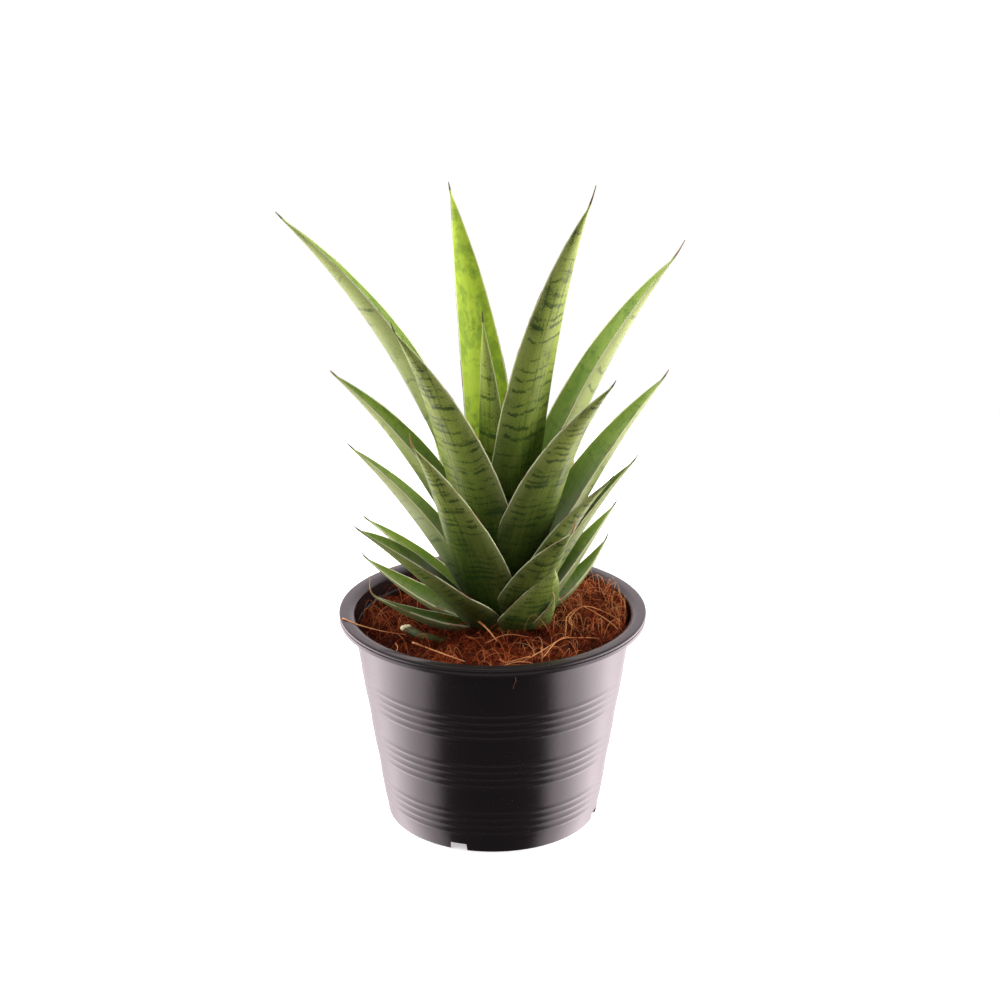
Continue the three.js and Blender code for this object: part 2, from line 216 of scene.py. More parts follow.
class Flow:
    """A socket in a tree of nodes. Sums on it add the nodes that work them out."""

    def __init__(self, tree, socket=None):
        self.tree = tree
        self.socket = socket

    def node(self, kind, settings=None, values=None, out=0):
        """Adds a node, makes its settings, fills its sockets, and gives one of its outputs."""
        made = self.tree.nodes.new(kind)
        for name, setting in (settings or {}).items():
            if name == "stops":
                while len(made.color_ramp.elements) < len(setting):
                    made.color_ramp.elements.new(1)
                for stop, (position, tone) in zip(made.color_ramp.elements, setting):
                    stop.position = position
                    stop.color = tone
            else:
                setattr(made, name, setting)
        for name, value in (values or {}).items():
            if isinstance(value, Flow):
                self.tree.links.new(value.socket, made.inputs[name])
            else:
                made.inputs[name].default_value = value
        return Flow(self.tree, made.outputs[out])

    def other(self, out):
        """Another output of the same node."""
        return Flow(self.tree, self.socket.node.outputs[out])

    def parts(self):
        """The three numbers of a vector."""
        split = self.node("ShaderNodeSeparateXYZ", None, {0: self})
        return [split.other(i) for i in range(3)]

    def vector(self, x, y, z):
        """A vector of three numbers."""
        return self.node("ShaderNodeCombineXYZ", None, {0: x, 1: y, 2: z})

    def scaled(self, length):
        """This vector times a number."""
        return self.node("ShaderNodeVectorMath", {"operation": "SCALE"}, {0: self, "Scale": length})

    def math(self, operation, *others):
        """One operation on numbers, or on vectors where one of them is a vector."""
        sockets = (self, *others)
        if any(isinstance(s, Flow) and s.socket.type == "VECTOR" for s in sockets):
            sockets = [s if isinstance(s, (Flow, tuple)) else (s, s, s) for s in sockets]
            return self.node("ShaderNodeVectorMath", {"operation": operation}, dict(enumerate(sockets)))
        return self.node("ShaderNodeMath", {"operation": operation}, dict(enumerate(sockets)))

    def __add__(self, other):
        return self.math("ADD", other)

    def __radd__(self, other):
        return self.math("ADD", other)

    def __sub__(self, other):
        return self.math("SUBTRACT", other)

    def __rsub__(self, other):
        return (self * -1.0).math("ADD", other)

    def __mul__(self, other):
        return self.math("MULTIPLY", other)

    def __rmul__(self, other):
        return self.math("MULTIPLY", other)

    def __truediv__(self, other):
        return self.math("DIVIDE", other)

    def __rtruediv__(self, other):
        return (self ** -1.0) * other

    def __pow__(self, power):
        return self.math("POWER", power)

    def step(self, low, high):
        """0 below low, 1 above high, and smooth between them."""
        settings = {"interpolation_type": "SMOOTHSTEP"}
        return self.node("ShaderNodeMapRange", settings, {0: self, 1: low, 2: high, 3: 0.0, 4: 1.0})

    def blend(self, first, second):
        """Mixes two colours, or two numbers, by this share."""
        for end in (first, second):
            if isinstance(end, tuple) or isinstance(end, Flow) and end.socket.type == "RGBA":
                return self.node("ShaderNodeMix", {"data_type": "RGBA"}, {0: self, 6: first, 7: second}, 2)
        return self.node("ShaderNodeMix", {"data_type": "FLOAT"}, {0: self, 2: first, 3: second})

    def noise(self, place, scale, detail=2.0, roughness=0.5, distortion=0.0):
        """Cloudy noise, from 0 to 1, the same each time."""
        values = {"Vector": place, "Scale": scale, "Detail": detail}
        values |= {"Roughness": roughness, "Distortion": distortion}
        return self.node("ShaderNodeTexNoise", None, values)

    def cells(self, place, scale):
        """The distance to the nearest of scattered points."""
        return self.node("ShaderNodeTexVoronoi", None, {"Vector": place, "Scale": scale})

    def attribute(self, name, out="Fac"):
        """A value that the mesh carries."""
        return self.node("ShaderNodeAttribute", {"attribute_name": name}, out=out)

    def place(self):
        """Where a point is on the object, in metres."""
        return self.node("ShaderNodeTexCoord", out="Object")

    def bump(self, height, depth):
        """The normal over small relief. The depth is in metres."""
        return self.node("ShaderNodeBump", None, {"Height": height, "Distance": depth, "Strength": 1.0})


def colour(red, green, blue):
    """A colour given as a screen shows it, from 0 to 255."""
    channels = (c / 255 for c in (red, green, blue))
    return (*(c / 12.92 if c <= 0.04045 else ((c + 0.055) / 1.055) ** 2.4 for c in channels), 1.0)


def finish_named(name, build, **constants):
    """A material. build(flow) gives what goes into its shader's sockets, and constants are set on them."""
    made = bpy.data.materials.new(name)
    made.use_nodes = True
    tree = made.node_tree
    shader = tree.nodes["Principled BSDF"]
    for socket, value in constants.items():
        shader.inputs[socket.replace("_", " ")].default_value = value
    for socket, value in build(Flow(tree)).items():
        tree.links.new(value.socket, shader.inputs[socket])
    return made


def black_plastic(flow):
    at = flow.place()
    dust = flow.noise(at, 900.0, 3.0).step(0.66, 0.74) * flow.noise(at, 60.0).step(0.45, 0.7)
    specks = flow.cells(at, 260.0).math("LESS_THAN", 0.07)
    scuffs = flow.noise(at * (1.0, 1.0, 6.0), 120.0, 4.0, 0.6)
    base = (dust * 0.10 + specks * 0.15).blend(colour(30, 25, 27), colour(120, 112, 108))
    orange_peel = flow.noise(at, 420.0, 2.0)
    flow_lines = flow.noise(at * (1.0, 1.0, 0.12), 160.0, 3.0)
    return {
        "Base Color": base,
        "Roughness": scuffs * 0.08 + dust * 0.25 + 0.17,
        "Normal": flow.bump(orange_peel * 0.5 + flow_lines * 0.5, 0.00004),
    }


pot.data.materials.clear()
pot.data.materials.append(finish_named("black_plastic", black_plastic, IOR=1.5))
pot.data.shade_smooth()
pot.data.set_sharp_from_angle(angle=CREASE)
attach(pot, "root")
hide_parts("pot")

# The coir
# Coconut coir fills the pot to a little under its rim: red-brown pith and short fibre, heaped round the stem
# and banked up at the back on the right. Curled fibres stand out of it all over, and more of them in tufts.

COIR_LEVEL = 85.5
COIR_EDGE = 57.2
COIR_BOTTOM = 5.2
COIR_SHOULDER = 9  # from here up it goes along the wall
COIR_RINGS = 84
COIR_TURNS = 264
STEM_X = 5  # the stem's axis, from the pot's axis
STEM_Y = 1
HEAP = 3  # how much higher it is round the stem
HEAP_SPREAD = 500
BANK = 2.5  # and at the back on the right
BANK_X = 42
BANK_Y = 24
BANK_SPREAD = 260
CRUMB = 2.0  # how far clods stand out


def coir_top(x, y):
    """The height of the coir at a place measured from the pot's axis."""
    heap = HEAP * math.exp(-((x - STEM_X) ** 2 + y**2) / HEAP_SPREAD)
    bank = BANK * math.exp(-((x - BANK_X) ** 2 + (y - BANK_Y) ** 2) / BANK_SPREAD)
    waves = math.sin(x * 0.21 + 1.3) * math.cos(y * 0.17) + 0.6 * math.sin(x * 0.47 - y * 0.39)
    return COIR_LEVEL + heap + bank + 1.1 * waves + (3 * x - y) / 60


def clods(x, y):
    """How far the pith stands above or under that height."""
    here = Vector((x, y, 3.1))
    lumps = noise.turbulence(here * 0.13, 3, True) - 0.75
    crumbs = noise.fractal(here * 0.55, 0.6, 2.0, 4)
    return CRUMB * (lumps * 1.5 + crumbs * 0.8)


def ring_faces(rings, turns):
    """The faces between rings of points, each ring turned about the same way."""
    made = []
    for i in range(rings - 1):
        for j in range(turns):
            k = (j + 1) % turns
            a, b = i * turns, (i + 1) * turns
            made.append((a + j, a + k, b + k, b + j))
    return made


coir_points = []
bottom_edge = (COIR_BOTTOM, inner_radius(COIR_BOTTOM) - 3)
shoulder_edge = (COIR_SHOULDER, inner_radius(COIR_SHOULDER) - 0.5)
for height, radius in (bottom_edge, shoulder_edge):
    for j in range(COIR_TURNS):
        angle = 2 * math.pi * j / COIR_TURNS
        coir_points.append((AXIS.x + radius * math.cos(angle), AXIS.y + radius * math.sin(angle), height))
for i in range(COIR_RINGS):
    radius = COIR_EDGE * (1 - i / COIR_RINGS)
    for j in range(COIR_TURNS):
        angle = 2 * math.pi * (j + 0.5 * (i % 2)) / COIR_TURNS
        x, y = radius * math.cos(angle), radius * math.sin(angle)
        coir_points.append((AXIS.x + x, AXIS.y + y, coir_top(x, y) + clods(x, y)))
coir_points.append((*AXIS, coir_top(0, 0) + clods(0, 0)))
coir_points.append((*AXIS, COIR_BOTTOM))
coir_faces = ring_faces(COIR_RINGS + 2, COIR_TURNS)
middle = len(coir_points) - 2
for j in range(COIR_TURNS):
    k = (j + 1) % COIR_TURNS
    coir_faces.append((middle - COIR_TURNS + j, middle - COIR_TURNS + k, middle))
    coir_faces.append((k, j, middle + 1))
coir = mesh_object("coir_bed", coir_points, coir_faces)
heights = coir.data.attributes.new("stand", "FLOAT", "POINT")
for i, (x, y, z) in enumerate(coir_points):
    heights.data[i].value = z - coir_top(x - AXIS.x, y - AXIS.y)


def hollow_shade(flow):
    """Painted shade in the hollows between the coir's clods, the same on the pith and on its fibres."""
    return flow.noise(flow.place() + (0.0, 0.0, 0.3), 62.0, 2.0).step(0.45, 0.60)


def coir_pith(flow):
    at = flow.place()
    clumps = flow.noise(at, 240.0, 4.0, 0.65)
    threads = flow.noise(at, 900.0, 3.0, 0.6, 2.5)
    patches = flow.noise(at, 70.0, 2.0)
    stand = flow.attribute("stand")
    # Painted shade: the pith is darker where it lies below the coir's height, and its red patches show only
    # on its raised parts.
    high = stand.step(-1.4, 1.6)
    dark = (clumps.step(0.38, 0.62) * 0.6 + high * 0.4).blend(colour(18, 6, 3), colour(104, 38, 18))
    red = (patches.step(0.45, 0.65) * high * 0.6).blend(dark, colour(140, 56, 23))
    # painted shade darkens the pith in the hollows between its clods
    red = (hollow_shade(flow) * 0.55).blend(red, colour(26, 8, 4))
    base = (threads.step(0.56, 0.68) * 0.4).blend(red, colour(186, 102, 52))
    return {
        "Base Color": base,
        "Roughness": clumps * 0.1 + 0.82,
        "Normal": flow.bump(clumps * 0.5 + threads * 0.5, 0.0009),
    }


coir.data.materials.append(finish_named("coir_pith", coir_pith, Specular_IOR_Level=0.2))
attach(coir, "root")
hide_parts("coir")


def growth(name, sizes, build):
    """A tree of geometry nodes with named inputs. build(flow, sizes) gives the geometry."""
    tree = bpy.data.node_groups.new(name, "GeometryNodeTree")
    tree.interface.new_socket("Geometry", in_out="OUTPUT", socket_type="NodeSocketGeometry")
    tree.interface.new_socket("Geometry", in_out="INPUT", socket_type="NodeSocketGeometry")
    for label, kind in sizes.items():
        tree.interface.new_socket(label, in_out="INPUT", socket_type="NodeSocket" + kind)
    entry = tree.nodes.new("NodeGroupInput")
    sockets = {socket.name: Flow(tree, socket) for socket in entry.outputs if socket.name}
    made = build(Flow(tree), sockets)
    end = tree.nodes.new("NodeGroupOutput")
    tree.links.new(made.socket, end.inputs[0])
    return tree


def grow(piece, tree, sizes):
    """Turns the piece into the plain mesh that the tree makes of it with these sizes."""
    modifier = piece.modifiers.new("growth", "NODES")
    modifier.node_group = tree
    identifiers = {item.name: item.identifier for item in tree.interface.items_tree if item.in_out == "INPUT"}
    for label, size in sizes.items():
        modifier[identifiers[label]] = size
    grown = bpy.data.meshes.new_from_object(piece.evaluated_get(bpy.context.evaluated_depsgraph_get()))
    piece.modifiers.remove(modifier)
    piece.data = grown


def fibre_tone(flow):
    tone = flow.attribute("tone")
    # the fibres are darkened in the coir's hollows by the same painted shade as the pith
    paleness = tone + flow.noise(flow.place(), 500.0) * 0.2 - 0.1 - hollow_shade(flow) * 0.34
    ramp = [
        (0.0, colour(60, 20, 9)),
        (0.35, colour(124, 48, 22)),
        (0.7, colour(178, 90, 46)),
        (1.0, colour(216, 150, 100)),
    ]
    base = flow.node("ShaderNodeValToRGB", {"stops": ramp}, {"Fac": paleness})
    return {"Base Color": base, "Roughness": tone * -0.1 + 0.9}


fibre_finish = finish_named("coir_fibre", fibre_tone, Specular_IOR_Level=0.15)
FIBRE_REACH = 56.4  # how far from the pot's axis a fibre may go
FIBRE_ROOT = 0.0004  # how deep its ends are set in the coir, in metres


def chance(flow, low, high, seed):
    """A number drawn for each point, or for each instance."""
    drawn = {"Min": low, "Max": high, "Seed": seed}
    return flow.node("FunctionNodeRandomValue", {"data_type": "FLOAT"}, drawn, "Value")


def carrying(geometry, name, value, data_type="FLOAT", domain="POINT"):
    """The geometry with a named value kept on it."""
    settings = {"data_type": data_type, "domain": domain}
    values = {"Geometry": geometry, "Name": name, "Value": value}
    return geometry.node("GeometryNodeStoreNamedAttribute", settings, values)


def carried(flow, name):
    """A named value that the geometry carries."""
    return flow.node("GeometryNodeInputNamedAttribute", {"data_type": "FLOAT"}, {"Name": name}, "Attribute")


def scattered_fibres(flow, size):
    """Short curves scattered on the surface, lifted and curled by seeded noise, then given a thickness."""
    sites = {"Mesh": size["Geometry"], "Density": size["Density"], "Seed": size["Seed"]}
    points = flow.node("GeometryNodeDistributePointsOnFaces", None, sites)
    heading = flow.vector(0.0, 0.0, chance(flow, 0.0, 6.283, size["Seed"]))
    long = chance(flow, 0.35, 1.0, 5) * size["Length"]
    line = flow.node("GeometryNodeCurvePrimitiveLine", {"mode": "POINTS"}, {"End": (1.0, 0.0, 0.0)})
    line = flow.node("GeometryNodeResampleCurve", None, {"Curve": line, "Count": size["Points"]})
    line = carrying(line, "along", flow.node("GeometryNodeSplineParameter", out="Factor"))
    placing = {"Points": points, "Instance": line, "Rotation": heading, "Scale": long}
    placed = flow.node("GeometryNodeInstanceOnPoints", None, placing)
    placed = carrying(placed, "luck", chance(flow, 0.0, 1.0, 9), domain="INSTANCE")
    curves = flow.node("GeometryNodeRealizeInstances", None, {"Geometry": placed})
    luck = carried(flow, "luck")
    along = carried(flow, "along")

    at = flow.node("GeometryNodeInputPosition")
    curling = {"Vector": at, "W": luck * 40.0, "Scale": size["Curl"], "Detail": 0.0}
    curl = flow.node("ShaderNodeTexNoise", {"noise_dimensions": "4D"}, curling, "Color")
    curl = flow.node("ShaderNodeVectorMath", {"operation": "SUBTRACT"}, {0: curl, 1: (0.5, 0.5, 0.42)})
    arch = (along * math.pi).math("SINE")
    stand = (luck ** 3.5) * arch * size["Lift"] + arch * FIBRE_ROOT - FIBRE_ROOT
    shift = curl.scaled(size["Wander"] * (along * 0.9 + 0.25)) + flow.vector(0.0, 0.0, stand)
    curves = flow.node("GeometryNodeSetPosition", None, {"Geometry": curves, "Offset": shift})
    x, y, z = flow.node("GeometryNodeInputPosition").parts()
    x, y = x - AXIS.x * MM, y - AXIS.y * MM
    inward = (FIBRE_REACH * MM / (x * x + y * y).math("SQRT")).math("MINIMUM", 1.0)
    kept_in = flow.vector(x * inward + AXIS.x * MM, y * inward + AXIS.y * MM, z)
    curves = flow.node("GeometryNodeSetPosition", None, {"Geometry": curves, "Position": kept_in})

    thin = (1.0 - along * 0.6) * (luck * 0.5 + 0.6)
    circle = {"Resolution": 3, "Radius": size["Radius"]}
    circle = flow.node("GeometryNodeCurvePrimitiveCircle", None, circle)
    tubes = {"Curve": curves, "Profile Curve": circle, "Fill Caps": True, "Scale": thin}
    hair = flow.node("GeometryNodeCurveToMesh", None, tubes)
    hair = carrying(hair, "tone", luck ** 1.6 * size["Paleness"])
    hair = flow.node("GeometryNodeRealizeInstances", None, {"Geometry": hair})
    return flow.node("GeometryNodeSetMaterial", None, {"Geometry": hair, "Material": fibre_finish})


fibre_growth = growth(
    "scattered_fibres",
    {
        "Density": "Float",
        "Length": "Float",
        "Points": "Int",
        "Radius": "Float",
        "Curl": "Float",
        "Wander": "Float",
        "Lift": "Float",
        "Paleness": "Float",
        "Seed": "Int",
    },
    scattered_fibres,
)


def in_a_tuft(x, y):
    """The coir is pulled up in tufts on the right, and in a few places in front."""
    right = x > 24 and y > -26 and noise.noise(Vector((x * 0.09, y * 0.09, 8.0))) > -0.15
    front = y < -38 and x > -8 and noise.noise(Vector((x * 0.12, y * 0.12, 2.0))) > 0.12
    return right or front


def coir_patch(name, tufts):
    """The open top of the coir, or its tufts only, for fibres to grow from."""
    first = 2 * COIR_TURNS
    points = coir_points[first:-1]
    faces = []
    for face in coir_faces:
        x, y, _ = Vector(coir_points[face[0]]) - AXIS.to_3d()
        if min(face) >= first and max(face) <= middle and (in_a_tuft(x, y) or not tufts):
            faces.append(tuple(corner - first for corner in face))
    return mesh_object(name, points, faces)


# Lengths are in metres, and densities in fibres to a square metre.
FIBRE_LAYERS = {
    "coir_fine_fibres": dict(
        Density=410000.0, Length=0.0084, Points=5, Radius=0.00011, Curl=190.0,
        Wander=0.008, Lift=0.003, Paleness=0.55, Seed=1,
    ),
    "coir_long_fibres": dict(
        Density=95000.0, Length=0.017, Points=12, Radius=0.00014, Curl=90.0,
        Wander=0.016, Lift=0.006, Paleness=0.9, Seed=2,
    ),
    "coir_tufts": dict(
        Density=190000.0, Length=0.013, Points=12, Radius=0.00012, Curl=130.0,
        Wander=0.018, Lift=0.007, Paleness=1.3, Seed=3,
    ),
}
for name, sizes in FIBRE_LAYERS.items():
    layer = coir_patch(name, name == "coir_tufts")
    grow(layer, fibre_growth, sizes)
    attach(layer, "root")

# The coarse fibres
# Stiff fibres of the husk that lie loose across the coir: a straight thick one and a looped one in front, one
# over the rim on the left, and pale branching ones on the right. One short hair clings to the pot's wall.

STRAND_SIDES = 6
STRAND_STEPS = 8
STRAND_TIP = 0.35  # its thickness at the end, as a share of that at the start
STRAND_TONE = 1.2


def strand(points, radius):
    """A thin closed tube on a smooth curve, through points that are measured from the pot's axis."""
    knots = [Vector(p) + AXIS.to_3d() for p in points]
    knots = [knots[0] * 2 - knots[1], *knots, knots[-1] * 2 - knots[-2]]
    path = []
    for a, b, c, d in zip(knots, knots[1:], knots[2:], knots[3:]):
        for step in range(STRAND_STEPS):
            s = step / STRAND_STEPS
            curve = 2 * b + (c - a) * s + (2 * a - 5 * b + 4 * c - d) * s**2
            path.append(0.5 * (curve + (3 * b - a - 3 * c + d) * s**3))
    path.append(knots[-2])
    made = []
    for i, here in enumerate(path):
        ahead = (path[min(i + 1, len(path) - 1)] - path[max(i - 1, 0)]).normalized()
        side = ahead.cross(Vector((0.3, 0.2, 1))).normalized()
        up = side.cross(ahead)
        thick = radius * (1 - (1 - STRAND_TIP) * i / (len(path) - 1)) * (1 + 0.15 * math.sin(i * 1.7))
        for j in range(STRAND_SIDES):
            turn = 2 * math.pi * j / STRAND_SIDES
            made.append(here + side * (thick * math.cos(turn)) + up * (thick * math.sin(turn)))
    start = tuple(reversed(range(STRAND_SIDES)))
    end = tuple(range(len(made) - STRAND_SIDES, len(made)))
    return made, [start, end, *ring_faces(len(path), STRAND_SIDES)]


def coir_at(x, y, above):
    """A place over the coir, measured from the pot's axis."""
    return (x, y, coir_top(x, y) + above)


def on_wall(x, z):
    """A place on the front of the pot's wall."""
    return (x, -math.sqrt((wall_radius(z) + 0.1) ** 2 - x * x), z)


STRANDS = [
    # in front
    (0.45, coir_at(-33, -25, 2), coir_at(-22, -37, 2.6), coir_at(-11, -49, 1.6)),
    (0.28, coir_at(3, -44, 0.5), coir_at(6, -50, 2.5), coir_at(13, -53, 3.5), coir_at(15, -49, 2.4),
     coir_at(10, -47, 1.2)),
    (0.26, coir_at(2, -52, 1), coir_at(9, -55, 3.5), (14, -58.5, 92.4), (16, -59.5, 92.3)),
    # over the rim on the left, and beside it
    (0.3, (-62.5, -14, 92.5), (-55, -19, 91.5), (-45, -22, 90), (-36, -22, 88.6)),
    (0.25, coir_at(-40, -24, 1), coir_at(-39, -30, 2.2), coir_at(-41, -36, 0.4)),
    # branching, on the right
    (0.34, coir_at(34, -14, 0), coir_at(32, -13, 4), coir_at(38, -9, 7.5), coir_at(47, -6, 5),
     coir_at(54, -10, 1.5)),
    (0.28, coir_at(38, -9, 7.5), coir_at(43, -14, 6), coir_at(49, -16, 3), coir_at(52, -21, 1)),
    (0.36, coir_at(30, -22, 0.2), coir_at(30.5, -18, 3), coir_at(31, -14, 5.5), coir_at(35, -10, 7)),
    (0.26, coir_at(12, -48, 1), coir_at(21, -41, 3), coir_at(29, -33, 3), coir_at(33, -25, 1)),
    (0.24, coir_at(20, -46, 0.5), coir_at(27, -36, 3.2), coir_at(36, -30, 2.8), coir_at(44, -26, 0.6)),
    # at the foot of the low leaves
    (0.5, coir_at(-6, -18, 7), coir_at(-2, -24, 5), coir_at(2, -30, 2)),
    (0.24, coir_at(-3, -28, 1), coir_at(6, -27, 3.4), coir_at(16, -26, 2)),
    # the hair on the wall
    (0.15, on_wall(8.8, 88.2), on_wall(9.2, 86.2), on_wall(9.4, 84), on_wall(8.6, 82), on_wall(8.4, 80.2)),
]
strand_points, strand_faces = [], []
for radius, *points in STRANDS:
    made, faces = strand(points, radius)
    strand_faces += [tuple(corner + len(strand_points) for corner in face) for face in faces]
    strand_points += made
strands = mesh_object("coir_strands", strand_points, strand_faces)
tones = strands.data.attributes.new("tone", "FLOAT", "POINT")
for i in range(len(strand_points)):
    tones.data[i].value = STRAND_TONE
strands.data.materials.append(fibre_finish)
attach(strands, "root")

# The stem
# The short fleshy stem that every leaf clasps, tapered to the growing tip, where a small green bud closes it.
# It stands in the coir, and the leaf bases hide nearly all of it.

STEM_LOW = 84
STEM_TIP = 110
STEM_LOW_RADIUS = 13
STEM_TIP_RADIUS = 5
STEM_ROOT = 62
STEM_SWELL = 97  # where it is a little thicker
STEM_TURNS = 48
BUD = 3


def stem_radius(z):
    return STEM_LOW_RADIUS + (STEM_TIP_RADIUS - STEM_LOW_RADIUS) * (z - STEM_LOW) / (STEM_TIP - STEM_LOW)


stem_profile = rounded(
    [
        (0, STEM_ROOT, 0),
        (STEM_LOW_RADIUS * 0.6, STEM_ROOT, 2),
        (STEM_LOW_RADIUS, STEM_ROOT + 10, 3),
        (STEM_LOW_RADIUS, STEM_LOW, 3),
        (stem_radius(STEM_SWELL) + 0.15, STEM_SWELL, 1),
        (STEM_TIP_RADIUS, STEM_TIP, 1.2),
        (STEM_TIP_RADIUS * 0.6, STEM_TIP + BUD * 0.7, 0.8),
        (0, STEM_TIP + BUD, 0),
    ],
    5,
)
stem = turned("stem_core", stem_profile, AXIS + Vector((STEM_X, STEM_Y)), STEM_TURNS)


def stem_flesh(flow):
    at = flow.place()
    scars = flow.noise(at * (0.2, 0.2, 1.0), 500.0, 2.0)
    clouds = flow.noise(at, 120.0, 3.0)
    base = clouds.blend(colour(150, 160, 98), colour(118, 134, 66))
    return {
        "Base Color": (scars.step(0.55, 0.7) * 0.5).blend(base, colour(112, 92, 56)),
        "Roughness": clouds * 0.2 + 0.5,
        "Normal": flow.bump(scars, 0.0004),
    }


stem.data.materials.append(finish_named("stem_flesh", stem_flesh))
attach(stem, "root")
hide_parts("stem")

# The leaves
# Thick, stiff, channelled succulent leaves, the youngest in the middle and the oldest lowest. Each clasps the
# stem with its base, narrows to a hard awl point, and has a pale horny margin and dark broken crossbands. One
# old leaf was cut off, and its stub lies withered on the coir.

LEAF_THICKNESS = 3.6
AROUND = 44  # points round a leaf
ALONG = 132  # sections along it
BLADE_SHARE = 0.9  # share of those sections that the blade takes, before the awl point
AWL_RADIUS = 0.45
CLASP = 1.25  # half the angle of the channel at the root
ROOT_WIDTH = 0.75  # how wide the root is, as a share of the blade
TUCK = 5.0  # how far the leaf goes on under its root
WAVINESS = 0.07  # how much its width wanders
SEED_PITCH = 3.7  # how far apart two leaves are in the noise
LEAF_INPUTS = {
    "Root": "Vector",
    "Azimuth": "Float",
    "Sway": "Float",
    "Lean": "Float",
    "Bend": "Float",
    "Turn": "Float",
    "Length": "Float",
    "Width": "Float",
    "Fullness": "Float",
    "Taper": "Float",
    "Fold": "Float",
    "Roll": "Float",
    "Thickness": "Float",
    "Cusp": "Float",
    "Hook": "Float",
    "Cusp Radius": "Float",
    "Clasp": "Float",
    "Root Width": "Float",
    "Tuck": "Float",
    "Blade Share": "Float",
    "Waviness": "Float",
    "Seed": "Float",
    "Marks": "Vector",
}


def leaf_blade(flow, size):
    """A tube whose sections are bent round a channel, and whose middle line is an arc that leans out."""
    tube = flow.node(
        "GeometryNodeMeshCylinder",
        {"fill_type": "TRIANGLE_FAN"},
        {"Vertices": AROUND, "Side Segments": ALONG, "Radius": 1.0, "Depth": 1.0},
    )
    across_share, face, up_share = flow.node("GeometryNodeInputPosition").parts()
    up_share = up_share + 0.5
    blade_end = 1.0 - size["Cusp"] / size["Length"]
    on_blade = (up_share / size["Blade Share"]).math("MINIMUM", 1.0)
    past_blade = {0: up_share, 1: size["Blade Share"], 2: 1.00001, 3: 0.0, 4: 1.0}
    cusp = flow.node("ShaderNodeMapRange", None, past_blade)
    start = size["Tuck"] / size["Length"] * -1.0
    eased = 1.0 - (1.0 - on_blade) ** 1.3
    share = start + (blade_end - start) * eased + cusp * (1.0 - blade_end)

    azimuth = size["Azimuth"] + size["Sway"] * share
    lean = size["Lean"] + size["Bend"] * share
    half_azimuth = size["Azimuth"] + size["Sway"] * share * 0.5
    half_lean = size["Lean"] + size["Bend"] * share * 0.5

    def direction(az, tilt):
        flat = tilt.math("SINE")
        return flow.vector(az.math("COSINE") * flat, az.math("SINE") * flat, tilt.math("COSINE"))

    along = direction(azimuth, lean)
    chord = direction(half_azimuth, half_lean)
    roll = size["Roll"] * (1.0 - (1.0 - share) ** 2.0)
    level = flow.vector(azimuth.math("SINE") * -1.0, azimuth.math("COSINE"), 0.0)
    beside = along.math("CROSS_PRODUCT", level)
    across = level.scaled(roll.math("COSINE")) + beside.scaled(roll.math("SINE"))
    inward = along.math("CROSS_PRODUCT", across)

    half = size["Turn"] * share * 0.5
    reach = size["Length"] * share * (half.math("SINE") / half)
    centre = size["Root"] + chord.scaled(reach)
    centre = centre + inward.scaled(size["Cusp"] * size["Hook"] * cusp ** 2.0)

    belly = (share / 0.3).math("MAXIMUM", 0.0).step(0.0, 1.0)
    belly = size["Root Width"] + (1.0 - size["Root Width"]) * belly
    full = (share / blade_end).math("MAXIMUM", 0.0).math("MINIMUM", 1.0)
    taper = 1.0 - size["Taper"] * full ** size["Fullness"]
    awl = size["Cusp Radius"] * (1.0 - cusp * 0.65)
    ripple = flow.vector(share * 7.0, across_share * 0.8, size["Seed"])
    ripple = flow.noise(ripple, 1.0, 2.0) - 0.5
    width = size["Width"] * 0.5 * belly * taper * (1.0 + ripple * size["Waviness"])
    width = width.math("MAXIMUM", awl)
    thinning = (0.25 + (1.0 - share) * 0.75) * taper.math("SQRT")
    thinning = size["Taper"] * thinning + (1.0 - size["Taper"]) * 0.8
    thick = (size["Thickness"] * 0.5 * thinning).math("MAXIMUM", awl)
    fold_share = (share / 0.35).math("MAXIMUM", 0.0).step(0.0, 1.0)
    fold = size["Clasp"] + (size["Fold"] - size["Clasp"]) * fold_share
    arc = width / fold
    bent = across_share * fold
    radius = arc - thick * face
    place = centre + across.scaled(radius * bent.math("SINE"))
    place = place + inward.scaled(arc - radius * bent.math("COSINE"))

    flat = flow.vector(across_share * width, share * size["Length"], size["Seed"])
    kept = {
        "flat": ("FLOAT_VECTOR", flat),
        "edge": ("FLOAT", width - across_share.math("ABSOLUTE") * width),
        "inside": ("FLOAT", face),
        "awl": ("FLOAT", cusp),
        "share": ("FLOAT", share),
        "marks": ("FLOAT_VECTOR", size["Marks"]),
    }
    made = tube
    for name, (data_type, value) in kept.items():
        made = carrying(made, name, value, data_type)
    made = flow.node("GeometryNodeSetPosition", None, {"Geometry": made, "Position": place.scaled(MM)})
    made = flow.node("GeometryNodeSetShadeSmooth", None, {"Geometry": made})
    made = flow.node("GeometryNodeRealizeInstances", None, {"Geometry": made})
    return flow.node("GeometryNodeSetMaterial", None, {"Geometry": made, "Material": leaf_finish})


